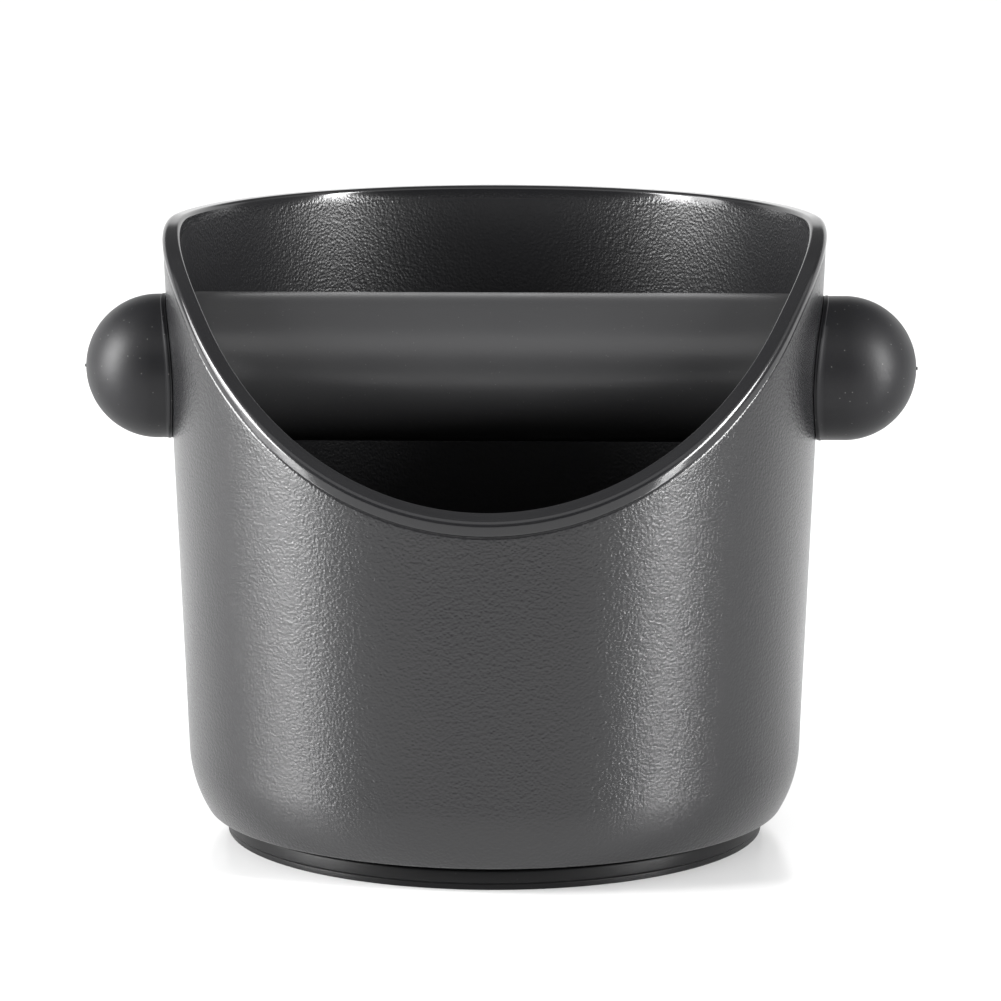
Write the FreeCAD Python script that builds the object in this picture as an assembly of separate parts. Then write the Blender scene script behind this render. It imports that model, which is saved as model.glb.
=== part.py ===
import FreeCAD, Part
import math
import os

from FreeCAD import Vector

# Espresso knock box: a tapered plastic bucket with a slanted mouth, crossed by a
# rubber-covered steel bar that is held from outside by two rubber knobs.
# Units are millimetres and +Z is up. The origin is on the bucket's axis, on the
# surface that the box stands on. The bar lies along X, and the low side of the
# mouth, where the portafilter comes in, faces -Y.

# Bucket shell
rim_z = 107.7               # level back part of the rim
wall_foot_r = 53.28         # outer wall's radius, carried down to z = 0
wall_draft = 0.0415         # radius gained per millimetre of height
wall = 3.0
underside_z = 4.4
floor_thickness = 3.0
heel_r = 22.0               # wide arc from the wall to the underside
heel_centre_z = 16.0
floor_corner_r = 8.0        # inside, where the wall meets the floor
underside_edge_r = 0.8

# Mouth: a slope seen from the side, rounded into the level rim
mouth_angle = 44.6          # degrees from level
mouth_front_y = -56.0       # a point on the slope, at the outer face in front
mouth_front_z = 63.3
mouth_shoulder_r = 50.0     # arc between the slope and the level rim

# Lip: a smooth band around the mouth, standing just proud of the grained wall
lip_proud = 0.15
lip_depth = 1.8
lip_outer_edge_r = 1.0
lip_inner_edge_r = 0.7

# Bar and its seats in the wall
bar_z = 82.0
core_r = 6.0
core_wall = 1.0
core_half_length = 62.0
sleeve_r = 13.0
sleeve_half_length = 52.9
sleeve_edge_r = 0.8
running_gap = 0.05          # sleeve and knobs over the steel tube
seat_face_x = 53.2          # flat faces let into the wall, beside the sleeve's ends
seat_r = 13.6
wall_hole_r = 8.0

# Rubber knobs
knob_r = 12.6
knob_tip_left = 71.5        # from the bucket's axis to each rounded end
knob_tip_right = 73.6
knob_wall_gap = 0.1
knob_bead_proud = 0.12      # thin edge where the knob meets the wall
knob_bead_width = 0.8
neck_r = 7.9                # passes through the wall's hole
neck_end_x = 53.6
nub_r = 0.3                 # moulding gate left at the knob's tip
nub_height = 0.25
nub_root = 0.5              # how far the nub's cylinder reaches into the dome

# Rigid stems moulded into the knobs
stem_start_x = 47.0
stem_core_r = 4.5
stem_rib_r = 4.96
stem_rib_length = 2.2
stem_rib_pitch = 4.0
stem_ribs = 3
stem_first_rib = 2.0        # from the stem's end to its first rib
stem_nose = 1.2
stem_head_r = 8.0
stem_head_thickness = 3.0
stem_gap = 0.3              # from the tube's end to the stem's head

# Rubber base ring, pressed round a rib under the bucket
ring_r = 47.55
ring_inner_r = 44.0
ring_foot_r = 47.2
ring_foot_height = 1.0
ring_shoulder_z = 3.5
ring_neck_r = 46.6
ring_foot_flare = 0.1       # the foot band widens upwards
ring_foot_step = 0.2        # height of the step above the foot band
ring_shoulder_height = 0.4
rib_inner_r = 41.5
rib_bottom_z = 1.2

reach = 90.0                # larger than the whole object, for cutting blocks
over_rim = 10.0             # how far the plain cones run past the rim before the mouth is cut
lip_run = 15.0              # how far the lip's cones run below the front of the mouth
edge_tolerance = 0.01       # for finding edges by their place

z_axis = Vector(0, 0, 1)
x_axis = Vector(1, 0, 0)
origin = Vector(0, 0, 0)


def wall_radius(z, offset=0.0):
    return wall_foot_r + wall_draft * z + offset


def section_point(r, z):
    return Vector(r, 0, z)


def turned(edges, centre=origin, axis=z_axis):
    """Solid of revolution of a closed section."""
    section = Part.Face(Part.Wire(edges))
    return section.revolve(centre, axis, 360)


def straight_runs(points):
    """Straight edges through a row of points."""
    return [Part.LineSegment(a, b).toShape() for a, b in zip(points, points[1:])]


def arc_about(centre, radius, start_deg, end_deg, to_point):
    """Arc in a section, from one angle to another about its centre."""
    middle_deg = (start_deg + end_deg) / 2
    points = []
    for degrees in (start_deg, middle_deg, end_deg):
        angle = math.radians(degrees)
        points.append(to_point(centre[0] + radius * math.cos(angle), centre[1] + radius * math.sin(angle)))
    return Part.Arc(points[0], points[1], points[2]).toShape(), points[0], points[2]


def tapered_plug(offset, bottom_z, top_z):
    """Solid cone whose side runs parallel to the bucket's outer wall."""
    low_r = wall_radius(bottom_z, offset)
    high_r = wall_radius(top_z, offset)
    return Part.makeCone(low_r, high_r, top_z - bottom_z, Vector(0, 0, bottom_z))


def outer_form():
    """Everything inside the bucket's outer face, up past the rim."""
    draft_deg = math.degrees(math.atan(wall_draft))
    heel_centre_r = wall_radius(heel_centre_z) - heel_r * math.hypot(1, wall_draft)
    bottom_deg = -math.degrees(math.asin((heel_centre_z - underside_z) / heel_r))
    heel, low, high = arc_about((heel_centre_r, heel_centre_z), heel_r, bottom_deg, -draft_deg, section_point)
    top_z = rim_z + over_rim
    points_up = [high, section_point(wall_radius(top_z), top_z), section_point(0, top_z)]
    points_in = [points_up[-1], section_point(0, underside_z), low]
    return turned([heel] + straight_runs(points_up) + straight_runs(points_in))


def inner_form():
    """The hollow for the coffee grounds."""
    draft_deg = math.degrees(math.atan(wall_draft))
    floor_z = underside_z + floor_thickness
    centre_z = floor_z + floor_corner_r
    centre_r = wall_radius(centre_z, -wall) - floor_corner_r * math.hypot(1, wall_draft)
    corner, low, high = arc_about((centre_r, centre_z), floor_corner_r, -90, -draft_deg, section_point)
    top_z = rim_z + over_rim
    points_up = [high, section_point(wall_radius(top_z, -wall), top_z), section_point(0, top_z)]
    points_in = [points_up[-1], section_point(0, floor_z), low]
    return turned([corner] + straight_runs(points_up) + straight_runs(points_in))


def above_mouth(drop=0.0):
    """Block of everything above the mouth's side profile, lowered by drop."""
    slope = math.tan(math.radians(mouth_angle))
    corner_y = mouth_front_y + (rim_z - mouth_front_z) / slope
    tangent = mouth_shoulder_r * math.tan(math.radians(mouth_angle / 2))
    centre = (corner_y + tangent, rim_z - drop - mouth_shoulder_r)

    def side_point(y, z):
        return Vector(-reach, y, z)

    shoulder, slope_end, level_start = arc_about(centre, mouth_shoulder_r, 90 + mouth_angle, 90, side_point)
    front = side_point(-reach, slope_end.z - (slope_end.y + reach) * slope)
    back = side_point(reach, level_start.z)
    over_back = side_point(reach, 2 * rim_z)
    over_front = side_point(-reach, 2 * rim_z)
    outline = [shoulder] + straight_runs([level_start, back, over_back, over_front, front, slope_end])
    return Part.Face(Part.Wire(outline)).extrude(Vector(2 * reach, 0, 0))


def lip():
    """Ring of constant depth below the mouth's edge."""
    low_z = mouth_front_z - lip_run
    high_z = rim_z + over_rim
    ring = tapered_plug(lip_proud, low_z, high_z).cut(tapered_plug(-wall, low_z, high_z))
    return ring.common(above_mouth(lip_depth)).cut(above_mouth())


def along_x(radius, start_x, end_x):
    """Cylinder on the bar's axis between two places along X."""
    return Part.makeCylinder(radius, end_x - start_x, Vector(start_x, 0, bar_z), x_axis)


def with_bar_seats(shell, outer):
    """The shell with a flat round face in each side wall, beside the ends of the sleeve."""
    shell = shell.cut(along_x(seat_r, -seat_face_x, seat_face_x))
    both = along_x(seat_r, -reach, -seat_face_x).fuse(along_x(seat_r, seat_face_x, reach))
    return shell.fuse(both.common(outer))


def mouth_edges(shape, offset):
    """Edges of the mouth that lie on the wall's cone at the given offset."""
    found = []
    for edge in shape.Edges:
        middle = edge.valueAt((edge.FirstParameter + edge.LastParameter) / 2)
        ends = [vertex.Point for vertex in edge.Vertexes]
        on_cone = all(
            abs(math.hypot(p.x, p.y) - wall_radius(p.z, offset)) < edge_tolerance for p in ends + [middle]
        )
        on_mouth = above_mouth().distToShape(Part.Vertex(middle))[0] < edge_tolerance
        if on_cone and on_mouth:
            found.append(edge)
    return found


def underside_edge(shape):
    """Circle where the heel meets the underside."""
    found = []
    for edge in shape.Edges:
        box = edge.BoundBox
        level = max(abs(box.ZMax - underside_z), abs(box.ZMin - underside_z)) < edge_tolerance
        if level and box.XMax > ring_r:
            found.append(edge)
    return found


def bucket():
    outer = outer_form()
    shell = outer.cut(inner_form())
    shell = with_bar_seats(shell, outer)
    shell = shell.cut(above_mouth())
    shell = shell.fuse(lip()).removeSplitter()
    shell = shell.makeFillet(lip_outer_edge_r, mouth_edges(shell, lip_proud))
    shell = shell.makeFillet(lip_inner_edge_r, mouth_edges(shell, -wall))
    shell = shell.makeFillet(underside_edge_r, underside_edge(shell))
    shell = shell.cut(along_x(wall_hole_r, -reach, reach))
    rib_height = underside_z - rib_bottom_z + floor_thickness / 2
    rib = Part.makeCylinder(ring_inner_r, rib_height, Vector(0, 0, rib_bottom_z))
    rib = rib.cut(Part.makeCylinder(rib_inner_r, rib_height, Vector(0, 0, rib_bottom_z)))
    return shell.fuse(rib).removeSplitter()


def base_ring():
    """Rubber ring with a foot band and a shoulder that leaves a fine shadow line."""
    points = [
        section_point(ring_inner_r, 0),
        section_point(ring_foot_r, 0),
        section_point(ring_foot_r + ring_foot_flare, ring_foot_height),
        section_point(ring_r, ring_foot_height + ring_foot_step),
        section_point(ring_r, ring_shoulder_z),
        section_point(ring_neck_r, ring_shoulder_z + ring_shoulder_height),
        section_point(ring_neck_r, underside_z),
        section_point(ring_inner_r, underside_z),
        section_point(ring_inner_r, 0),
    ]
    return turned(straight_runs(points))


def core_tube():
    outer = along_x(core_r, -core_half_length, core_half_length)
    return outer.cut(along_x(core_r - core_wall, -core_half_length, core_half_length))


def bar_sleeve():
    body = along_x(sleeve_r, -sleeve_half_length, sleeve_half_length)
    rims = [edge for edge in body.Edges if isinstance(edge.Curve, Part.Circle)]
    body = body.makeFillet(sleeve_edge_r, rims)
    return body.cut(along_x(core_r + running_gap, -reach, reach))


def stem():
    """Stem of the knob at +X: ribbed shank inside the tube, flat head in the rubber."""
    head_start = core_half_length + stem_gap
    head_end = head_start + stem_head_thickness
    shank = along_x(stem_core_r, stem_start_x, head_start)
    nose = [edge for edge in shank.Edges if edge.BoundBox.XMax < stem_start_x + edge_tolerance]
    shank = shank.makeChamfer(stem_nose, nose)
    body = shank.fuse(along_x(stem_head_r, head_start, head_end))
    for index in range(stem_ribs):
        rib_start = stem_start_x + stem_first_rib + index * stem_rib_pitch
        body = body.fuse(along_x(stem_rib_r, rib_start, rib_start + stem_rib_length))
    return body.removeSplitter()


def knob(tip_x, inner_stem):
    """Rubber knob at +X: a domed stub that sits on the curved wall, with a hollow neck."""
    centre_x = tip_x - knob_r
    dome = Part.makeSphere(knob_r, Vector(centre_x, 0, bar_z))
    stub = dome.fuse(along_x(knob_r, seat_face_x, centre_x))
    bead = along_x(knob_r + knob_bead_proud, seat_face_x, centre_x)
    low_z = bar_z - 2 * knob_r
    high_z = bar_z + 2 * knob_r
    wall_face = tapered_plug(knob_wall_gap, low_z, high_z)
    bead_end = tapered_plug(knob_wall_gap + knob_bead_width, low_z, high_z)
    neck = along_x(neck_r, neck_end_x, centre_x)
    nub = along_x(nub_r, tip_x - nub_root, tip_x + nub_height)
    rubber = stub.removeSplitter().cut(wall_face)
    rubber = rubber.fuse(bead.common(bead_end).cut(wall_face))
    rubber = rubber.fuse([neck, nub])
    rubber = rubber.cut(along_x(core_r + running_gap, 0, core_half_length + stem_gap))
    return rubber.cut(inner_stem).removeSplitter()


def mirrored(shape):
    return shape.mirror(origin, x_axis)


def build():
    right_stem = stem()
    right_knob = knob(knob_tip_right, right_stem)
    left_knob = knob(knob_tip_left, right_stem)
    return {
        "bucket": bucket(),
        "base_ring": base_ring(),
        "core_tube": core_tube(),
        "bar_sleeve": bar_sleeve(),
        "cap_left": mirrored(left_knob),
        "cap_right": right_knob,
        "stem_left": mirrored(right_stem),
        "stem_right": right_stem,
    }


os.makedirs("parts", exist_ok=True)
for name, shape in build().items():
    solid = shape.Solids[0]
    box = solid.BoundBox
    print(
        name,
        "solids", len(shape.Solids),
        "valid", solid.isValid(),
        "volume", round(solid.Volume, 1),
        "x", round(box.XMin, 2), round(box.XMax, 2),
        "y", round(box.YMin, 2), round(box.YMax, 2),
        "z", round(box.ZMin, 2), round(box.ZMax, 2),
    )
    solid.exportStep("parts/" + name + ".step")
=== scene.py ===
# Espresso knock box: a grained plastic tub with a slanted mouth, a rubber-covered bar and two rubber knobs
import math

import bpy
import bmesh
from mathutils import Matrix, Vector


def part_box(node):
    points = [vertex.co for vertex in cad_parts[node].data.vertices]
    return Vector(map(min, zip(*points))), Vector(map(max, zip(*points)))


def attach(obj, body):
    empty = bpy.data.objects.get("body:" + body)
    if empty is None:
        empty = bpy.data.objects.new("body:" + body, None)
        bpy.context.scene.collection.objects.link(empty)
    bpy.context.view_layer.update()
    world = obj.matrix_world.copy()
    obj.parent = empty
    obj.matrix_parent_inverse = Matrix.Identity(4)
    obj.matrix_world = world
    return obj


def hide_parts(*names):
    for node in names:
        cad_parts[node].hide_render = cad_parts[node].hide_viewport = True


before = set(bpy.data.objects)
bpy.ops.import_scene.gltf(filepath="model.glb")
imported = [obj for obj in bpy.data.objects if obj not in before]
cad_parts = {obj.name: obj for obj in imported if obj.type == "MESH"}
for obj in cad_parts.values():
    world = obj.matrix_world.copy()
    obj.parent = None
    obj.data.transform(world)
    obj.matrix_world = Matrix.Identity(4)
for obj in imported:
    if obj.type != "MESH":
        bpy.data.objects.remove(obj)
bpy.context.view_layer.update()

mm = 0.001
seamWidth = 0.002 * mm
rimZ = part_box("bucket")[1].z
sleeveLow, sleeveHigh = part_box("bar_sleeve")
barZ = (sleeveLow.z + sleeveHigh.z) / 2
print("frame loaded, rim at", round(rimZ / mm, 1), "mm")


def linear(hexColour):
    channels = [int(hexColour[i:i + 2], 16) / 255 for i in (1, 3, 5)]
    return [c / 12.92 if c <= 0.04045 else ((c + 0.055) / 1.055) ** 2.4 for c in channels] + [1]


def addNode(tree, kind, inputs=None, **settings):
    # adds one node; an input is a value, or the output socket to link from
    node = tree.nodes.new(kind)
    for name, value in settings.items():
        setattr(node, name, value)
    for key, value in (inputs or {}).items():
        if isinstance(value, bpy.types.NodeSocket):
            tree.links.new(value, node.inputs[key])
        else:
            node.inputs[key].default_value = value
    return node


def arcPoints(centre, radius, startDeg, endDeg, count):
    # points round an arc of a section, first and last included
    angles = [math.radians(startDeg + (endDeg - startDeg) * i / (count - 1)) for i in range(count)]
    return [(centre[0] + radius * math.cos(a), centre[1] + radius * math.sin(a)) for a in angles]


def newTree(name, sizes):
    # a geometry tree with a geometry input and one named number for each size
    tree = bpy.data.node_groups.new(name, "GeometryNodeTree")
    tree.interface.new_socket("Section", in_out="INPUT", socket_type="NodeSocketGeometry")
    tree.interface.new_socket("Piece", in_out="OUTPUT", socket_type="NodeSocketGeometry")
    for label, value in sizes.items():
        kind = "NodeSocketInt" if isinstance(value, int) else "NodeSocketFloat"
        socket = tree.interface.new_socket(label, in_out="INPUT", socket_type=kind)
        socket.default_value = value
    return tree, addNode(tree, "NodeGroupInput")


def sweepHead(tree, given, labels):
    # the grid that every swept piece starts from: columns go round, rows follow the section
    count = addNode(tree, "GeometryNodeAttributeDomainSize", {"Geometry": given.outputs["Section"]})
    rows = count.outputs["Point Count"]
    around = addNode(tree, "ShaderNodeMath", {0: given.outputs["Columns"], 1: 1.0}, operation="ADD")
    grid = addNode(tree, "GeometryNodeMeshGrid", {"Vertices X": around.outputs[0], "Vertices Y": rows})
    index = addNode(tree, "GeometryNodeInputIndex").outputs[0]
    ratio = addNode(tree, "ShaderNodeMath", {0: index, 1: rows}, operation="DIVIDE")
    column = addNode(tree, "ShaderNodeMath", {0: ratio.outputs[0]}, operation="FLOOR")
    row = addNode(tree, "ShaderNodeMath", {0: index, 1: rows}, operation="MODULO")
    share = addNode(tree, "ShaderNodeMath", {
        0: column.outputs[0], 1: given.outputs["Columns"]}, operation="DIVIDE")
    turn = addNode(tree, "ShaderNodeMath", {0: share.outputs[0], 1: 2 * math.pi}, operation="MULTIPLY")
    sampled = {}
    for label in labels:
        named = addNode(tree, "GeometryNodeInputNamedAttribute", {"Name": label}, data_type="FLOAT")
        taken = addNode(tree, "GeometryNodeSampleIndex", {
            "Geometry": given.outputs["Section"], "Value": named.outputs["Attribute"],
            "Index": row.outputs[0]}, data_type="FLOAT", domain="POINT")
        sampled[label] = taken.outputs["Value"]
    return grid.outputs["Mesh"], turn.outputs[0], sampled


def sweepTail(tree, mesh, position, kept=None):
    # moves the grid into place, closes seam and poles, and sets the material
    placed = addNode(tree, "GeometryNodeSetPosition", {"Geometry": mesh, "Position": position}).outputs[0]
    for label, value in (kept or {}).items():
        placed = addNode(tree, "GeometryNodeStoreNamedAttribute", {
            "Geometry": placed, "Name": label, "Value": value},
            data_type="FLOAT", domain="POINT").outputs[0]
    merged = addNode(tree, "GeometryNodeMergeByDistance", {"Geometry": placed, "Distance": seamWidth})
    real = addNode(tree, "GeometryNodeRealizeInstances", {"Geometry": merged.outputs[0]})
    painted = addNode(tree, "GeometryNodeSetMaterial", {"Geometry": real.outputs[0]})
    addNode(tree, "NodeGroupOutput", {0: painted.outputs[0]})


def sweptMesh(name, tree, points, material, sizes=None):
    # points holds one dictionary for each point of the section; the result is a plain mesh
    mesh = bpy.data.meshes.new(name)
    mesh.from_pydata([(0, 0, 0)] * len(points), [], [])
    for label in points[0]:
        values = mesh.attributes.new(label, "FLOAT", "POINT")
        values.data.foreach_set("value", [p[label] for p in points])
    section = bpy.data.objects.new(name + ".section", mesh)
    bpy.context.scene.collection.objects.link(section)
    sweep = section.modifiers.new("sweep", "NODES")
    sweep.node_group = tree
    for item in tree.interface.items_tree:
        if item.item_type == "SOCKET" and item.in_out == "INPUT" and item.name in (sizes or {}):
            sweep[item.identifier] = sizes[item.name]
    for node in tree.nodes:
        if node.bl_idname == "GeometryNodeSetMaterial":
            node.inputs["Material"].default_value = material
    return plainMesh(section, name)


def plainMesh(built, name):
    # the evaluated result as a mesh of its own; the object that made it is removed
    bpy.context.view_layer.update()
    ready = built.evaluated_get(bpy.context.evaluated_depsgraph_get())
    mesh = bpy.data.meshes.new_from_object(ready)
    mesh.name = name
    bpy.data.objects.remove(built)
    return mesh


def finishedPiece(name, mesh, material, sharpDeg=38):
    # outward normals, smooth shading with the sharp edges kept, and one material
    work = bmesh.new()
    work.from_mesh(mesh)
    bmesh.ops.remove_doubles(work, verts=work.verts, dist=seamWidth)
    bmesh.ops.recalc_face_normals(work, faces=work.faces)
    work.to_mesh(mesh)
    work.free()
    mesh.shade_smooth()
    mesh.set_sharp_from_angle(angle=math.radians(sharpDeg))
    mesh.materials.clear()
    mesh.materials.append(material)
    piece = bpy.data.objects.new(name, mesh)
    bpy.context.scene.collection.objects.link(piece)
    print(name, "made,", len(mesh.polygons), "faces")
    return piece


def newMaterial(name, **values):
    material = bpy.data.materials.new(name)
    material.use_nodes = True
    tree = material.node_tree
    shader = tree.nodes["Principled BSDF"]
    for label, value in values.items():
        shader.inputs[label.replace("_", " ")].default_value = value
    place = addNode(tree, "ShaderNodeTexCoord").outputs["Object"]
    return material, tree, shader, place


tubFinish = dict(colour="#18181a", paleColour="#1c1c1d", grain=0.36, pores=0.55, grainDepth=0.052, cloud=11,
                 lipRoughness=0.14, wallRoughness=0.27, insideRoughness=0.33)


def tubMaterial():
    # black ABS, injection moulded: spark-eroded walls give a leathery satin grain, the lip is polished smoother
    material, tree, shader, place = newMaterial("mouldedAbsGrained", IOR=1.5)
    area = addNode(tree, "ShaderNodeAttribute", attribute_name="grain").outputs["Fac"]
    onWall = addNode(tree, "ShaderNodeMath", {0: area, 1: 1.0}, operation="MINIMUM").outputs[0]
    cells = addNode(tree, "ShaderNodeTexNoise", {
        "Vector": place, "Scale": 1 / (tubFinish["grain"] * mm), "Detail": 2.0, "Roughness": 0.55})
    pores = addNode(tree, "ShaderNodeTexVoronoi", {
        "Vector": place, "Scale": 1 / (tubFinish["pores"] * mm), "Smoothness": 0.6}, feature="SMOOTH_F1")
    both = addNode(tree, "ShaderNodeMath", {0: cells.outputs["Fac"], 1: pores.outputs["Distance"]}, operation="ADD")
    height = addNode(tree, "ShaderNodeMath", {0: both.outputs[0], 1: onWall}, operation="MULTIPLY")
    bump = addNode(tree, "ShaderNodeBump", {
        "Height": height.outputs[0], "Strength": 1.0, "Distance": tubFinish["grainDepth"] * mm})
    cloud = addNode(tree, "ShaderNodeTexNoise", {
        "Vector": place, "Scale": 1 / (tubFinish["cloud"] * mm), "Detail": 3.0})
    colour = addNode(tree, "ShaderNodeMix", {
        "Factor": cloud.outputs["Fac"], "A": linear(tubFinish["colour"]),
        "B": linear(tubFinish["paleColour"])}, data_type="RGBA")
    wall = addNode(tree, "ShaderNodeMapRange", {
        "Value": area, "To Min": tubFinish["lipRoughness"], "To Max": tubFinish["wallRoughness"]})
    inside = addNode(tree, "ShaderNodeMapRange", {
        "Value": area, "From Min": 1.0, "From Max": 2.0, "To Min": 0.0,
        "To Max": tubFinish["insideRoughness"] - tubFinish["wallRoughness"]})
    rough = addNode(tree, "ShaderNodeMath", {
        0: wall.outputs["Result"], 1: inside.outputs["Result"]}, operation="ADD")
    tree.links.new(colour.outputs["Result"], shader.inputs["Base Color"])
    tree.links.new(rough.outputs[0], shader.inputs["Roughness"])
    tree.links.new(bump.outputs["Normal"], shader.inputs["Normal"])
    return material


# the sleeve's grey is paler than the knobs': painted light, standing in for the extra light the bar catches from
# above
rubberFinish = dict(knobColour="#18181a", sleeveColourWithPaintedLight="#333334", ringColour="#0c0c0d", speckColour="#6a6a68",
                    speckSpacing=1.3, speckCore=0.05, speckRim=0.10, skin=0.45, skinDepth=0.012,
                    wear=16, wearLow=0.3, wearHigh=0.7, wearSpread=0.04, refraction=1.43)


def rubberMaterial(name, colour, roughness, specks, shine):
    # moulded silicone rubber: a fine dull skin with a few pale dust specks in it
    # the skin is drawn coarser than it is, because the real one is too fine to show
    material, tree, shader, place = newMaterial(name, IOR=rubberFinish["refraction"], Specular_IOR_Level=shine)
    skin = addNode(tree, "ShaderNodeTexNoise", {
        "Vector": place, "Scale": 1 / (rubberFinish["skin"] * mm), "Detail": 2.0})
    bump = addNode(tree, "ShaderNodeBump", {
        "Height": skin.outputs["Fac"], "Strength": 1.0, "Distance": rubberFinish["skinDepth"] * mm})
    dots = addNode(tree, "ShaderNodeTexVoronoi", {"Vector": place, "Scale": 1 / (rubberFinish["speckSpacing"] * mm)})
    spot = addNode(tree, "ShaderNodeMapRange", {
        "Value": dots.outputs["Distance"], "From Min": rubberFinish["speckCore"],
        "From Max": rubberFinish["speckRim"], "To Min": specks, "To Max": 0.0})
    tone = addNode(tree, "ShaderNodeMix", {
        "Factor": spot.outputs["Result"], "A": linear(colour), "B": linear(rubberFinish["speckColour"])},
        data_type="RGBA")
    wear = addNode(tree, "ShaderNodeTexNoise", {
        "Vector": place, "Scale": 1 / (rubberFinish["wear"] * mm), "Detail": 4.0})
    rough = addNode(tree, "ShaderNodeMapRange", {
        "Value": wear.outputs["Fac"], "From Min": rubberFinish["wearLow"], "From Max": rubberFinish["wearHigh"],
        "To Min": roughness - rubberFinish["wearSpread"], "To Max": roughness + rubberFinish["wearSpread"]})
    tree.links.new(tone.outputs["Result"], shader.inputs["Base Color"])
    tree.links.new(rough.outputs["Result"], shader.inputs["Roughness"])
    tree.links.new(bump.outputs["Normal"], shader.inputs["Normal"])
    return material


steelFinish = dict(darkColour="#b9b6b1", lightColour="#d3d1cd", linesPerMetre=(18, 2600, 2600),
                   smoothest=0.2, roughest=0.38, lineDepth=0.004)


def steelMaterial():
    # stainless tube, drawn: fine lines along its length stretch the highlights across it
    # the lines are drawn coarser than they are, because the real ones are too fine to show
    material, tree, shader, place = newMaterial("drawnStainless", Metallic=1.0)
    stretched = addNode(tree, "ShaderNodeMapping", {"Vector": place, "Scale": steelFinish["linesPerMetre"]})
    lines = addNode(tree, "ShaderNodeTexNoise", {"Vector": stretched.outputs[0], "Scale": 1.0, "Detail": 3.0})
    colour = addNode(tree, "ShaderNodeMix", {
        "Factor": lines.outputs["Fac"], "A": linear(steelFinish["darkColour"]),
        "B": linear(steelFinish["lightColour"])}, data_type="RGBA")
    rough = addNode(tree, "ShaderNodeMapRange", {
        "Value": lines.outputs["Fac"], "To Min": steelFinish["smoothest"], "To Max": steelFinish["roughest"]})
    bump = addNode(tree, "ShaderNodeBump", {
        "Height": lines.outputs["Fac"], "Distance": steelFinish["lineDepth"] * mm})
    tree.links.new(colour.outputs["Result"], shader.inputs["Base Color"])
    tree.links.new(rough.outputs["Result"], shader.inputs["Roughness"])
    tree.links.new(bump.outputs["Normal"], shader.inputs["Normal"])
    return material


nylonFinish = dict(darkColour="#d8d3c4", lightColour="#e6e2d6", cloudsPerMetre=260.0,
                   smoothest=0.38, roughest=0.5)


def nylonMaterial():
    # natural nylon, moulded: milky, with soft light coming back out of it
    material, tree, shader, place = newMaterial(
        "mouldedNylon", IOR=1.53, Subsurface_Weight=0.2, Subsurface_Scale=0.002)
    cloud = addNode(tree, "ShaderNodeTexNoise", {
        "Vector": place, "Scale": nylonFinish["cloudsPerMetre"], "Detail": 3.0})
    colour = addNode(tree, "ShaderNodeMix", {
        "Factor": cloud.outputs["Fac"], "A": linear(nylonFinish["darkColour"]),
        "B": linear(nylonFinish["lightColour"])}, data_type="RGBA")
    rough = addNode(tree, "ShaderNodeMapRange", {
        "Value": cloud.outputs["Fac"], "To Min": nylonFinish["smoothest"], "To Max": nylonFinish["roughest"]})
    tree.links.new(colour.outputs["Result"], shader.inputs["Base Color"])
    tree.links.new(rough.outputs["Result"], shader.inputs["Roughness"])
    return material


tubPlastic = tubMaterial()
knobRubber = rubberMaterial("mouldedRubberKnob", rubberFinish["knobColour"], 0.45, 0.7, 0.33)
# the sleeve's paler base colour is painted light, for the light the bar catches from above
sleeveRubber = rubberMaterial("mouldedRubberSleeve", rubberFinish["sleeveColourWithPaintedLight"], 0.33, 0.4, 0.7)
ringRubber = rubberMaterial("mouldedRubberRing", rubberFinish["ringColour"], 0.45, 0.1, 0.25)
steel = steelMaterial()
nylon = nylonMaterial()
print("materials made")

# Tub: lengths of its section, in metres
tub = dict(footRadius=53.28 * mm, draft=0.0415, wall=3.0 * mm, undersideZ=4.4 * mm, floorZ=7.4 * mm,
           heelRadius=22 * mm, heelCentreZ=16 * mm, cornerRadius=8 * mm, undersideEdge=0.8 * mm,
           ribOuter=44 * mm, ribInner=41.5 * mm, ribZ=1.2 * mm, ribEdge=0.3 * mm,
           gateRadius=1.4 * mm, gateDepth=0.5 * mm,
           mouthDeg=44.6, mouthY=-56.0 * mm, mouthZ=63.3 * mm, shoulder=50 * mm,
           lipProud=0.08 * mm, lipDepth=1.75 * mm, outerEdge=1.0 * mm, innerEdge=0.75 * mm,
           grooveDepth=0.24 * mm, grooveEdge=0.34 * mm, grooveWidth=0.22 * mm, frontRaise=0.95 * mm,
           grooveFace=0.08 * mm, grooveLip=0.1 * mm, grooveFloor=0.02 * mm, grooveTurnDeg=78,
           outerTurn=-0.55, outerSink=-0.5, innerTurn=0.35,
           seatX=53.2 * mm, seatRadius=13.6 * mm, seatBevel=0.2 * mm, pocketDepth=4 * mm,
           holeRadius=8.0 * mm, holeDepth=5 * mm, holeReach=4 * mm,
           columns=480, wallRows=34)
tubLabels = ("radius", "along", "follow", "down", "raised", "proud", "outIn", "outDown", "inIn", "inDown", "grain")


def wallRadius(z):
    return tub["footRadius"] + tub["draft"] * z


def sectionPoint(radius, along, **values):
    # one point of a section; whatever isn't given is nought
    point = dict.fromkeys(tubLabels, 0.0)
    point.update(radius=radius, along=along, **values)
    return point


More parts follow.
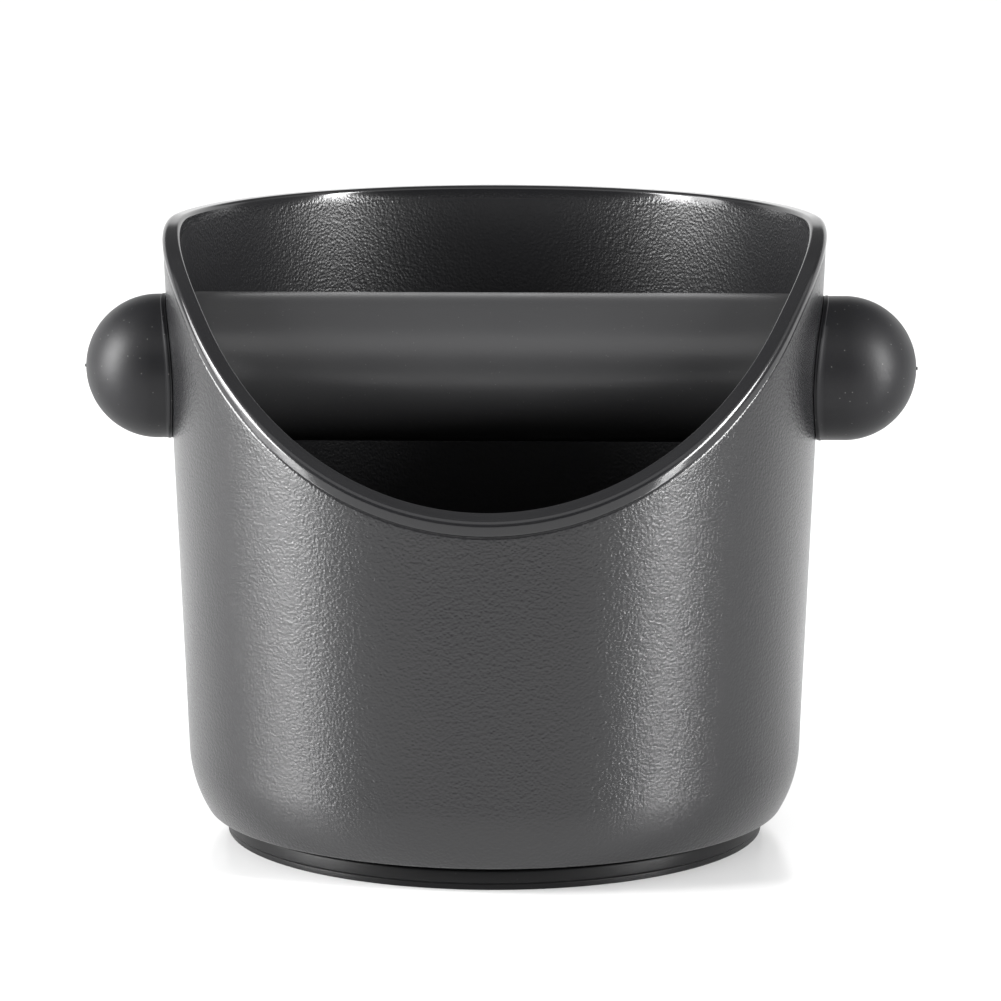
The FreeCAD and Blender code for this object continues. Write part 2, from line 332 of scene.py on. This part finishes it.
def tubSection():
    # once round the wall's section: underside and rib, outside, lip, inside and floor
    draftDeg = math.degrees(math.atan(tub["draft"]))
    lean = math.hypot(1, tub["draft"])
    low = tub["undersideZ"]
    points = []

    def put(radius, along, **values):
        points.append(sectionPoint(radius, along, **values))

    # underside with its moulding gate, and the rib that the base ring grips
    gate = tub["gateRadius"]
    for r, z in ((0, low + tub["gateDepth"]), (gate * 0.8, low + tub["gateDepth"]), (gate, low)):
        put(r, z)
    edge = tub["ribEdge"]
    for share in (0.2, 0.5, 0.8):
        put(tub["ribInner"] * share, low)
    put(tub["ribInner"], low)
    for r, z in arcPoints((tub["ribInner"] + edge, tub["ribZ"] + edge), edge, 180, 270, 4):
        put(r, z)
    for r, z in arcPoints((tub["ribOuter"] - edge, tub["ribZ"] + edge), edge, -90, 0, 4):
        put(r, z)
    put(tub["ribOuter"], low)
    # a small arc leads from the level underside into the wide arc of the heel
    heelR = wallRadius(tub["heelCentreZ"]) - tub["heelRadius"] * lean
    edge = tub["undersideEdge"]
    edgeZ = low + edge
    reachIn = tub["heelRadius"] - edge
    edgeR = heelR + math.sqrt(reachIn ** 2 - (tub["heelCentreZ"] - edgeZ) ** 2)
    edgeDeg = -math.degrees(math.asin((tub["heelCentreZ"] - edgeZ) / reachIn))
    for r, z in arcPoints((edgeR, edgeZ), edge, -90, edgeDeg, 6):
        put(r, z, grain=1.0)
    for r, z in arcPoints((heelR, tub["heelCentreZ"]), tub["heelRadius"], edgeDeg, -draftDeg, 18)[1:]:
        put(r, z, grain=1.0)
    # outer wall up to the groove under the lip, then the groove
    wallFoot = points[-1]["along"]
    depth, grooveEdge = tub["lipDepth"], tub["grooveEdge"]
    for i in range(1, tub["wallRows"] + 1):
        share = i / tub["wallRows"]
        z = wallFoot + (rimZ - wallFoot) * share
        put(wallRadius(z), z, follow=share, down=share * (depth + grooveEdge), raised=share, grain=1.0)
    for i in range(1, 6):
        angle = math.radians(tub["grooveTurnDeg"] * i / 5)
        inward = tub["grooveDepth"] * (1 - math.cos(angle))
        put(wallRadius(rimZ) - inward, rimZ, follow=1.0, raised=1.0, grain=1.0 - i / 5,
            down=depth + grooveEdge * (1 - math.sin(angle)))
    put(wallRadius(rimZ) - tub["grooveDepth"], rimZ, follow=1.0, raised=1.0, down=depth - tub["grooveFloor"])
    width = tub["grooveWidth"]
    put(wallRadius(rimZ) - tub["grooveDepth"] * 0.9, rimZ, follow=1.0, raised=1.0, down=depth - width * 0.5)
    for i in range(4):
        angle = math.radians(90 * i / 3)
        put(wallRadius(rimZ) - tub["grooveFace"] * (1 - math.sin(angle)), rimZ, follow=1.0, raised=1.0, proud=1.0,
            down=depth - width + tub["grooveLip"] * math.cos(angle))
    # rounded outer edge, flat band, rounded inner edge
    side = depth - width - tub["outerEdge"]
    for share in (0.3, 0.6):
        put(wallRadius(rimZ), rimZ, follow=1.0, raised=1.0, proud=1.0, down=side * (1 - share) + tub["outerEdge"])
    for i in range(11):
        angle = math.radians(9 * i)
        put(wallRadius(rimZ), rimZ, follow=1.0, raised=1.0, proud=1.0,
            outIn=1 - math.cos(angle), outDown=1 - math.sin(angle))
    for i in range(1, 6):
        share = i / 6
        put(wallRadius(rimZ) - tub["wall"] * share, rimZ, follow=1.0, proud=1 - share,
            raised=1 - share, outIn=1 - share, inIn=share)
    innerR = wallRadius(rimZ) - tub["wall"]
    for i in range(10):
        angle = math.radians(90 - 10 * i)
        put(innerR, rimZ, follow=1.0, inIn=1 - math.cos(angle), inDown=1 - math.sin(angle))
    # inner wall, floor corner and floor
    centreZ = tub["floorZ"] + tub["cornerRadius"]
    centreR = wallRadius(centreZ) - tub["wall"] - tub["cornerRadius"] * lean
    corner = arcPoints((centreR, centreZ), tub["cornerRadius"], -draftDeg, -90, 12)
    foot = corner[0][1]
    for i in range(1, tub["wallRows"]):
        share = 1 - i / tub["wallRows"]
        z = foot + (rimZ - foot) * share
        put(wallRadius(z) - tub["wall"], z, follow=share, inDown=share, grain=2.0)
    for r, z in corner:
        put(r, z, grain=2.0)
    for share in (0.8, 0.5, 0.2, 0.0):
        put(centreR * share, tub["floorZ"], grain=2.0)
    return points


def tubTree():
    # turns the section about the tub's axis while its upper part follows the slanted mouth
    slope = math.tan(math.radians(tub["mouthDeg"]))
    cornerY = tub["mouthY"] + (rimZ - tub["mouthZ"]) / slope
    levelY = cornerY + tub["shoulder"] * math.tan(math.radians(tub["mouthDeg"] / 2))
    slopeY = levelY - tub["shoulder"] * math.sin(math.radians(tub["mouthDeg"]))
    sizes = {"Columns": tub["columns"], "Mouth slope": slope, "Slope ends at": slopeY,
             "Level starts at": levelY, "Shoulder radius": tub["shoulder"], "Draft": tub["draft"],
             "Lip proud": tub["lipProud"], "Front raise": tub["frontRaise"],
             "Outer edge": tub["outerEdge"], "Inner edge": tub["innerEdge"], "Outer turn": tub["outerTurn"],
             "Outer sink": tub["outerSink"], "Inner turn": tub["innerTurn"]}
    tree, given = newTree("tubSweep", sizes)
    size = given.outputs
    mesh, turn, part = sweepHead(tree, given, tubLabels)
    sine = addNode(tree, "ShaderNodeMath", {0: turn}, operation="SINE").outputs[0]
    cosine = addNode(tree, "ShaderNodeMath", {0: turn}, operation="COSINE").outputs[0]
    shoulderSquared = addNode(tree, "ShaderNodeMath", {
        0: size["Shoulder radius"], 1: 2.0}, operation="POWER").outputs[0]
    radius = part["radius"]
    for settle in range(4):
        # the mouth's height at this radius and its steepness
        back = addNode(tree, "ShaderNodeMath", {0: radius, 1: cosine}, operation="MULTIPLY").outputs[0]
        y = addNode(tree, "ShaderNodeMath", {0: back, 1: -1.0}, operation="MULTIPLY").outputs[0]
        held = addNode(tree, "ShaderNodeClamp", {
            "Value": y, "Min": size["Slope ends at"], "Max": size["Level starts at"]}).outputs[0]
        run = addNode(tree, "ShaderNodeMath", {
            0: size["Level starts at"], 1: held}, operation="SUBTRACT").outputs[0]
        runSquared = addNode(tree, "ShaderNodeMath", {0: run, 1: 2.0}, operation="POWER").outputs[0]
        rest = addNode(tree, "ShaderNodeMath", {
            0: shoulderSquared, 1: runSquared}, operation="SUBTRACT").outputs[0]
        rise = addNode(tree, "ShaderNodeMath", {0: rest}, operation="SQRT").outputs[0]
        arcDrop = addNode(tree, "ShaderNodeMath", {
            0: rise, 1: size["Shoulder radius"]}, operation="SUBTRACT").outputs[0]
        past = addNode(tree, "ShaderNodeMath", {
            0: y, 1: size["Slope ends at"]}, operation="SUBTRACT").outputs[0]
        onSlope = addNode(tree, "ShaderNodeMath", {0: past, 1: 0.0}, operation="MINIMUM").outputs[0]
        mouthDrop = addNode(tree, "ShaderNodeMath", {
            0: onSlope, 1: size["Mouth slope"], 2: arcDrop}, operation="MULTIPLY_ADD").outputs[0]
        steep = addNode(tree, "ShaderNodeMath", {0: run, 1: rise}, operation="DIVIDE").outputs[0]
        steepSquared = addNode(tree, "ShaderNodeMath", {
            0: steep, 1: steep, 2: 1.0}, operation="MULTIPLY_ADD").outputs[0]
        # depths are measured square to the mouth's edge, so they grow with its slope
        stretch = addNode(tree, "ShaderNodeMath", {0: steepSquared}, operation="SQRT").outputs[0]
        # in front the slope lies across the lip, and the edges there turn through less than a right angle
        across = addNode(tree, "ShaderNodeMath", {0: steep, 1: cosine}, operation="MULTIPLY").outputs[0]
        outShrink = addNode(tree, "ShaderNodeMath", {
            0: across, 1: size["Outer turn"], 2: 1.0}, operation="MULTIPLY_ADD").outputs[0]
        downShrink = addNode(tree, "ShaderNodeMath", {
            0: across, 1: size["Outer sink"], 2: 1.0}, operation="MULTIPLY_ADD").outputs[0]
        inGrow = addNode(tree, "ShaderNodeMath", {
            0: across, 1: size["Inner turn"], 2: 1.0}, operation="MULTIPLY_ADD").outputs[0]
        outer = addNode(tree, "ShaderNodeMath", {
            0: part["outDown"], 1: downShrink}, operation="MULTIPLY").outputs[0]
        inner = addNode(tree, "ShaderNodeMath", {
            0: part["inDown"], 1: inGrow}, operation="MULTIPLY").outputs[0]
        outerDown = addNode(tree, "ShaderNodeMath", {
            0: outer, 1: size["Outer edge"], 2: part["down"]}, operation="MULTIPLY_ADD").outputs[0]
        edgesDown = addNode(tree, "ShaderNodeMath", {
            0: inner, 1: size["Inner edge"], 2: outerDown}, operation="MULTIPLY_ADD").outputs[0]
        lowered = addNode(tree, "ShaderNodeMath", {
            0: edgesDown, 1: stretch}, operation="MULTIPLY").outputs[0]
        followed = addNode(tree, "ShaderNodeMath", {
            0: mouthDrop, 1: part["follow"]}, operation="MULTIPLY").outputs[0]
        raisedShare = addNode(tree, "ShaderNodeMath", {
            0: across, 1: part["raised"]}, operation="MULTIPLY").outputs[0]
        upFront = addNode(tree, "ShaderNodeMath", {
            0: raisedShare, 1: size["Front raise"], 2: followed}, operation="MULTIPLY_ADD").outputs[0]
        moved = addNode(tree, "ShaderNodeMath", {0: upFront, 1: lowered}, operation="SUBTRACT").outputs[0]
        drafted = addNode(tree, "ShaderNodeMath", {
            0: moved, 1: size["Draft"], 2: part["radius"]}, operation="MULTIPLY_ADD").outputs[0]
        withLip = addNode(tree, "ShaderNodeMath", {
            0: part["proud"], 1: size["Lip proud"], 2: drafted}, operation="MULTIPLY_ADD").outputs[0]
        outAmount = addNode(tree, "ShaderNodeMath", {
            0: part["outIn"], 1: outShrink}, operation="MULTIPLY").outputs[0]
        outSize = addNode(tree, "ShaderNodeMath", {
            0: outAmount, 1: size["Outer edge"]}, operation="MULTIPLY").outputs[0]
        inAmount = addNode(tree, "ShaderNodeMath", {0: part["inIn"], 1: inGrow}, operation="MULTIPLY").outputs[0]
        trimmed = addNode(tree, "ShaderNodeMath", {0: withLip, 1: outSize}, operation="SUBTRACT").outputs[0]
        radius = addNode(tree, "ShaderNodeMath", {
            0: inAmount, 1: size["Inner edge"], 2: trimmed}, operation="MULTIPLY_ADD").outputs[0]
    x = addNode(tree, "ShaderNodeMath", {0: radius, 1: sine}, operation="MULTIPLY").outputs[0]
    back = addNode(tree, "ShaderNodeMath", {0: radius, 1: cosine}, operation="MULTIPLY").outputs[0]
    y = addNode(tree, "ShaderNodeMath", {0: back, 1: -1.0}, operation="MULTIPLY").outputs[0]
    z = addNode(tree, "ShaderNodeMath", {0: part["along"], 1: moved}, operation="ADD").outputs[0]
    place = addNode(tree, "ShaderNodeCombineXYZ", {0: x, 1: y, 2: z}).outputs[0]
    sweepTail(tree, mesh, place, {"grain": part["grain"]})
    return tree


# Pieces turned about the bar share one tree
barLabels = ("radius", "along", "onWall")


def barPoint(radius, along, onWall=0.0):
    # along is the place on the bar's axis, or with onWall = 1 the distance from the tub's conical wall
    return dict(radius=radius, along=along, onWall=onWall)


def barTree():
    # turns a section about the bar's axis; its end can be fitted to the tub's wall
    sizes = {"Columns": 160, "Side": 1.0, "Bar height": barZ, "Wall offset": 0.0,
             "Foot radius": tub["footRadius"], "Draft": tub["draft"]}
    tree, given = newTree("barSweep", sizes)
    size = given.outputs
    mesh, turn, part = sweepHead(tree, given, barLabels)
    sine = addNode(tree, "ShaderNodeMath", {0: turn}, operation="SINE").outputs[0]
    cosine = addNode(tree, "ShaderNodeMath", {0: turn}, operation="COSINE").outputs[0]
    y = addNode(tree, "ShaderNodeMath", {0: part["radius"], 1: sine}, operation="MULTIPLY").outputs[0]
    z = addNode(tree, "ShaderNodeMath", {
        0: part["radius"], 1: cosine, 2: size["Bar height"]}, operation="MULTIPLY_ADD").outputs[0]
    cone = addNode(tree, "ShaderNodeMath", {
        0: z, 1: size["Draft"], 2: size["Foot radius"]}, operation="MULTIPLY_ADD").outputs[0]
    wallHere = addNode(tree, "ShaderNodeMath", {0: cone, 1: size["Wall offset"]}, operation="ADD").outputs[0]
    wallSquared = addNode(tree, "ShaderNodeMath", {0: wallHere, 1: 2.0}, operation="POWER").outputs[0]
    ySquared = addNode(tree, "ShaderNodeMath", {0: y, 1: y}, operation="MULTIPLY").outputs[0]
    rest = addNode(tree, "ShaderNodeMath", {0: wallSquared, 1: ySquared}, operation="SUBTRACT").outputs[0]
    wallX = addNode(tree, "ShaderNodeMath", {0: rest}, operation="SQRT").outputs[0]
    out = addNode(tree, "ShaderNodeMath", {
        0: wallX, 1: part["onWall"], 2: part["along"]}, operation="MULTIPLY_ADD").outputs[0]
    x = addNode(tree, "ShaderNodeMath", {0: out, 1: size["Side"]}, operation="MULTIPLY").outputs[0]
    place = addNode(tree, "ShaderNodeCombineXYZ", {0: x, 1: y, 2: z}).outputs[0]
    sweepTail(tree, mesh, place)
    return tree


barSweep = barTree()


def tubBody():
    # the swept shell, with a round seat let into each side wall and the two holes for the knobs' necks
    shell = bpy.data.objects.new("shell", sweptMesh("shell", tubTree(), tubSection(), tubPlastic))
    bpy.context.scene.collection.objects.link(shell)
    cutters = []
    seat, hole, bevel = tub["seatRadius"], tub["holeRadius"], tub["seatBevel"]
    seatX, pocketX, holeX = tub["seatX"], tub["seatX"] - tub["pocketDepth"], tub["seatX"] - tub["holeDepth"]
    for side in (-1.0, 1.0):
        boss = [barPoint(0, seatX), barPoint(seat - bevel, seatX), barPoint(seat, seatX + bevel),
                barPoint(seat, -tub["wall"] / 2, 1.0), barPoint(0, -tub["wall"] / 2, 1.0)]
        pocket = [barPoint(0, pocketX), barPoint(seat, pocketX), barPoint(seat, seatX), barPoint(0, seatX)]
        bore = [barPoint(0, holeX), barPoint(hole, holeX),
                barPoint(hole, tub["holeReach"], 1.0), barPoint(0, tub["holeReach"], 1.0)]
        cutters += [("DIFFERENCE", pocket, side), ("UNION", boss, side), ("DIFFERENCE", bore, side)]
    helpers = []
    for number, (action, points, side) in enumerate(cutters):
        mesh = sweptMesh("cutter%d" % number, barSweep, points, tubPlastic, {"Side": side})
        work = bmesh.new()
        work.from_mesh(mesh)
        bmesh.ops.recalc_face_normals(work, faces=work.faces)
        work.to_mesh(mesh)
        work.free()
        cutter = bpy.data.objects.new("cutter%d" % number, mesh)
        bpy.context.scene.collection.objects.link(cutter)
        helpers.append(cutter)
        cut = shell.modifiers.new("cut%d" % number, "BOOLEAN")
        cut.operation, cut.object, cut.solver = action, cutter, "EXACT"
    mesh = plainMesh(shell, "tubShell")
    for cutter in helpers:
        bpy.data.objects.remove(cutter)
    return finishedPiece("tubShell", mesh, tubPlastic, 30)


tubPiece = tubBody()
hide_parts("bucket")
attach(tubPiece, "tub")

# Base ring
ring = dict(inner=44.05 * mm, foot=47.2 * mm, outer=47.55 * mm, neck=46.6 * mm, bandZ=1.0 * mm,
            stepZ=1.25 * mm, shoulderZ=3.5 * mm, neckZ=3.9 * mm, edge=0.22 * mm)


def ringSection():
    # foot band, a fine step, the side and the shoulder that leaves a shadow line under the tub
    edge, top = ring["edge"], tub["undersideZ"]
    rounds = [((ring["inner"] + edge, edge), 180, 270), ((ring["foot"] - edge, edge), -90, 0),
              ((ring["foot"] - edge / 3, ring["bandZ"] - edge / 2), 0, 60),
              ((ring["outer"] - edge, ring["stepZ"] + edge), -75, 0),
              ((ring["outer"] - edge * 2, ring["shoulderZ"] - edge * 2), 0, 90)]
    points = []
    for number, (centre, startDeg, endDeg) in enumerate(rounds):
        size = (edge, edge, edge / 2, edge, edge * 2)[number]
        points += arcPoints(centre, size, startDeg, endDeg, 6)
    points += [(ring["neck"], ring["shoulderZ"]), (ring["neck"], top), (ring["inner"], top)]
    points.append(points[0])
    return [sectionPoint(r, z) for r, z in points]


ringMesh = sweptMesh("baseRing", tubTree(), ringSection(), ringRubber, {"Columns": 240})
ringPiece = finishedPiece("baseRing", ringMesh, ringRubber, 50)
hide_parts("base_ring")
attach(ringPiece, "tub")

# Sleeve
sleeve = dict(radius=13.0 * mm, bore=6.05 * mm, halfLength=52.9 * mm, edge=0.8 * mm, boreEdge=0.25 * mm, rows=24)


def sleeveSection():
    half, edge = sleeve["halfLength"], sleeve["edge"]
    points = [(x, r) for x, r in arcPoints((half - edge, sleeve["radius"] - edge), edge, 0, 90, 9)]
    points += [(half - edge - 2 * (half - edge) * i / sleeve["rows"], sleeve["radius"])
               for i in range(1, sleeve["rows"])]
    points += [(x, r) for x, r in arcPoints((edge - half, sleeve["radius"] - edge), edge, 90, 180, 9)]
    small = sleeve["boreEdge"]
    points += [(-half, sleeve["bore"] + small), (small - half, sleeve["bore"]),
               (half - small, sleeve["bore"]), (half, sleeve["bore"] + small)]
    points.append(points[0])
    return [barPoint(r, x) for x, r in points]


sleeveMesh = sweptMesh("barSleeve", barSweep, sleeveSection(), sleeveRubber)
sleevePiece = finishedPiece("barSleeve", sleeveMesh, sleeveRubber, 50)
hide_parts("bar_sleeve")
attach(sleevePiece, "sleeve")

# Knobs: a dome with a short stub, fitted to the wall, and a hollow neck
knob = dict(radius=12.6 * mm, gap=0.08 * mm, beadProud=0.09 * mm, beadWidth=0.8 * mm, neck=7.9 * mm,
            neckX=53.6 * mm, bore=6.05 * mm, boreX=62.3 * mm, nubRadius=0.3 * mm, nubHeight=0.25 * mm,
            ringDeg=38, ringProud=0.03 * mm, domeRows=40, stubRows=5)


def knobSection(tip):
    # from the gate nub at the tip over the dome and stub to the wall, then in along the neck and its bore
    size, centre = knob["radius"], tip - knob["radius"]
    nub, high = knob["nubRadius"], tip + knob["nubHeight"]
    points = [barPoint(0, high), barPoint(nub * 0.7, high), barPoint(nub * 0.95, high - 0.06 * mm),
              barPoint(nub, tip - 0.02 * mm)]
    startDeg = math.degrees(math.asin(nub * 1.25 / size))
    for i in range(knob["domeRows"] + 1):
        angle = startDeg + (90 - startDeg) * i / knob["domeRows"]
        # a hair line stands on the dome where the two halves of its mould meet
        proud = knob["ringProud"] * math.exp(-((angle - knob["ringDeg"]) / 0.9) ** 2)
        turn = math.radians(angle)
        points.append(barPoint((size + proud) * math.sin(turn), centre + (size + proud) * math.cos(turn)))
    for i in range(1, knob["stubRows"]):
        share = i / knob["stubRows"]
        points.append(barPoint(size, centre * (1 - share) + knob["beadWidth"] * share, share))
    proud = size + knob["beadProud"]
    points += [barPoint(size, knob["beadWidth"] + 0.1 * mm, 1.0), barPoint(proud, knob["beadWidth"], 1.0),
               barPoint(proud, knob["beadWidth"] * 0.6, 1.0), barPoint(size, knob["beadWidth"] * 0.45, 1.0),
               barPoint(size, 0.12 * mm, 1.0), barPoint(size - 0.12 * mm, 0, 1.0)]
    for share in (0.7, 0.4, 0.1):
        points.append(barPoint(knob["neck"] + (size - knob["neck"]) * share, 0, 1.0))
    points += [barPoint(knob["neck"], 0, 1.0), barPoint(knob["neck"], knob["neckX"] + 0.2 * mm),
               barPoint(knob["neck"] - 0.2 * mm, knob["neckX"]), barPoint(knob["bore"] + 0.2 * mm, knob["neckX"]),
               barPoint(knob["bore"], knob["neckX"] + 0.2 * mm), barPoint(knob["bore"], knob["boreX"]),
               barPoint(0, knob["boreX"])]
    return points


for label, side, body in (("cap_left", -1.0, "left_knob"), ("cap_right", 1.0, "right_knob")):
    low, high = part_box(label)
    tip = max(abs(low.x), abs(high.x)) - knob["nubHeight"]
    title = "rubberKnobLeft" if side < 0 else "rubberKnobRight"
    mesh = sweptMesh(title, barSweep, knobSection(tip), knobRubber, {"Side": side, "Wall offset": knob["gap"]})
    piece = finishedPiece(title, mesh, knobRubber, 40)
    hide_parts(label)
    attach(piece, body)

# Steel tube and nylon stems
core = dict(radius=6.0 * mm, wall=1.0 * mm, halfLength=62.0 * mm, burr=0.15 * mm, rows=24)


def coreSection():
    # a drawn tube, its cut ends lightly deburred
    out, hole, half, burr = core["radius"], core["radius"] - core["wall"], core["halfLength"], core["burr"]
    along = [(half - burr) * (1 - 2 * i / core["rows"]) for i in range(core["rows"] + 1)]
    points = [(out, x) for x in along] + [(out - burr, -half), (hole + burr, -half)]
    points += [(hole, x) for x in reversed(along)] + [(hole + burr, half), (out - burr, half), (out, along[0])]
    return [barPoint(r, x) for r, x in points]


coreMesh = sweptMesh("coreTube", barSweep, coreSection(), steel, {"Columns": 96})
corePiece = finishedPiece("coreTube", coreMesh, steel, 30)
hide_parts("core_tube")
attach(corePiece, "core")

for label in ("stem_left", "stem_right"):
    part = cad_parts[label]
    part.data.materials.clear()
    part.data.materials.append(nylon)

# Floor, light and camera
studio = dict(floorSize=8.0, floorColour="#fafafa", floorRoughness=0.22, lookZ=80 * mm,
              frontDeg=50, backDeg=115, lowDeg=28, topDeg=58, frontLow=0.05, sideLow=0.28, backLow=1.5,
              frontMid=1.22, sideMid=1.0, backMid=0.2, top=0.3)
# azimuth in degrees from the front, distance, height, width, tallness, power
softboxes = {"leftBack": (-88, 1.2, 0.40, 0.30, 0.90, 10.7),
             "leftFront": (-73, 1.2, 0.40, 0.30, 0.90, 28.7),
             "right": (65, 1.3, 0.42, 0.20, 0.95, 31.5)}


def floorPlane():
    half = studio["floorSize"] / 2
    mesh = bpy.data.meshes.new("floor")
    mesh.from_pydata([(-half, -half, 0), (half, -half, 0), (half, half, 0), (-half, half, 0)], [], [(0, 1, 2, 3)])
    floor = bpy.data.objects.new("floor", mesh)
    bpy.context.scene.collection.objects.link(floor)
    material, tree, shader, place = newMaterial("paleGlossBoard", Roughness=studio["floorRoughness"], IOR=1.45)
    shader.inputs["Base Color"].default_value = linear(studio["floorColour"])
    mesh.materials.append(material)


def softbox(name, azimuthDeg, distance, height, width, tall, power):
    angle = math.radians(azimuthDeg)
    data = bpy.data.lights.new(name, "AREA")
    data.shape, data.size, data.size_y, data.energy = "RECTANGLE", width, tall, power
    lamp = bpy.data.objects.new(name, data)
    bpy.context.scene.collection.objects.link(lamp)
    lamp.location = (math.sin(angle) * distance, -math.cos(angle) * distance, height)
    lamp.rotation_mode = "QUATERNION"
    lamp.rotation_quaternion = (Vector((0, 0, studio["lookZ"])) - lamp.location).to_track_quat("-Z", "Y")
    lamp.visible_camera = False


def studioWorld():
    # a white room behind, a bright panel over the front, and a dim ceiling
    world = bpy.data.worlds.new("studio")
    bpy.context.scene.world = world
    world.use_nodes = True
    tree = world.node_tree
    direction = addNode(tree, "ShaderNodeTexCoord").outputs["Generated"]
    x, y, z = addNode(tree, "ShaderNodeSeparateXYZ", {0: direction}).outputs
    height = addNode(tree, "ShaderNodeMath", {0: z}, operation="ARCSINE").outputs[0]
    forward = addNode(tree, "ShaderNodeMath", {0: y, 1: -1.0}, operation="MULTIPLY").outputs[0]
    bearing = addNode(tree, "ShaderNodeMath", {0: x, 1: forward}, operation="ARCTAN2").outputs[0]
    aside = addNode(tree, "ShaderNodeMath", {0: bearing}, operation="ABSOLUTE").outputs[0]
    # each softened edge between two bands is a smooth step from one angle to another, in radians
    edges = {}
    for edge, softDeg in (("frontDeg", 5), ("backDeg", 5), ("lowDeg", 3), ("topDeg", 1)):
        edges[edge] = {"From Min": math.radians(studio[edge] - softDeg),
                       "From Max": math.radians(studio[edge] + softDeg)}
    levels = []
    for level in ("Low", "Mid"):
        front, side, back = (studio[part + level] for part in ("front", "side", "back"))
        toSide = addNode(tree, "ShaderNodeMapRange", {
            "Value": aside, **edges["frontDeg"], "To Min": front, "To Max": side}, interpolation_type="SMOOTHSTEP")
        toBack = addNode(tree, "ShaderNodeMapRange", {
            "Value": aside, **edges["backDeg"], "To Min": 0, "To Max": back - side}, interpolation_type="SMOOTHSTEP")
        levels.append(addNode(tree, "ShaderNodeMath", {
            0: toSide.outputs["Result"], 1: toBack.outputs["Result"]}, operation="ADD").outputs[0])
    low, middle = levels
    lift = addNode(tree, "ShaderNodeMapRange", {
        "Value": height, **edges["lowDeg"]}, interpolation_type="SMOOTHSTEP").outputs["Result"]
    lid = addNode(tree, "ShaderNodeMapRange", {
        "Value": height, **edges["topDeg"]}, interpolation_type="SMOOTHSTEP").outputs["Result"]
    lower = addNode(tree, "ShaderNodeMix", {"Factor": lift, "A": low, "B": middle})
    whole = addNode(tree, "ShaderNodeMix", {"Factor": lid, "A": lower.outputs["Result"], "B": studio["top"]})
    tree.links.new(whole.outputs["Result"], tree.nodes["Background"].inputs["Strength"])
    tree.nodes["Background"].inputs["Color"].default_value = (1, 1, 1, 1)


cameraSet = dict(azimuthDeg=1.5, distance=0.8495, height=0.2085, pitchDeg=10.03, lens=176.6, sensor=36,
                 shiftX=0.006, nearest=0.05, farthest=40)


def makeCamera():
    data = bpy.data.cameras.new("camera")
    data.lens, data.sensor_width, data.shift_x = cameraSet["lens"], cameraSet["sensor"], cameraSet["shiftX"]
    data.clip_start, data.clip_end = cameraSet["nearest"], cameraSet["farthest"]
    camera = bpy.data.objects.new("camera", data)
    bpy.context.scene.collection.objects.link(camera)
    turn = math.radians(cameraSet["azimuthDeg"])
    camera.location = (math.sin(turn) * cameraSet["distance"], -math.cos(turn) * cameraSet["distance"],
                       cameraSet["height"])
    camera.rotation_euler = (math.radians(90 - cameraSet["pitchDeg"]), 0, turn)
    bpy.context.scene.camera = camera


floorPlane()
for label, settings in softboxes.items():
    softbox(label, *settings)
studioWorld()
makeCamera()
bpy.context.scene.view_settings.view_transform = "Standard"
print("studio set")
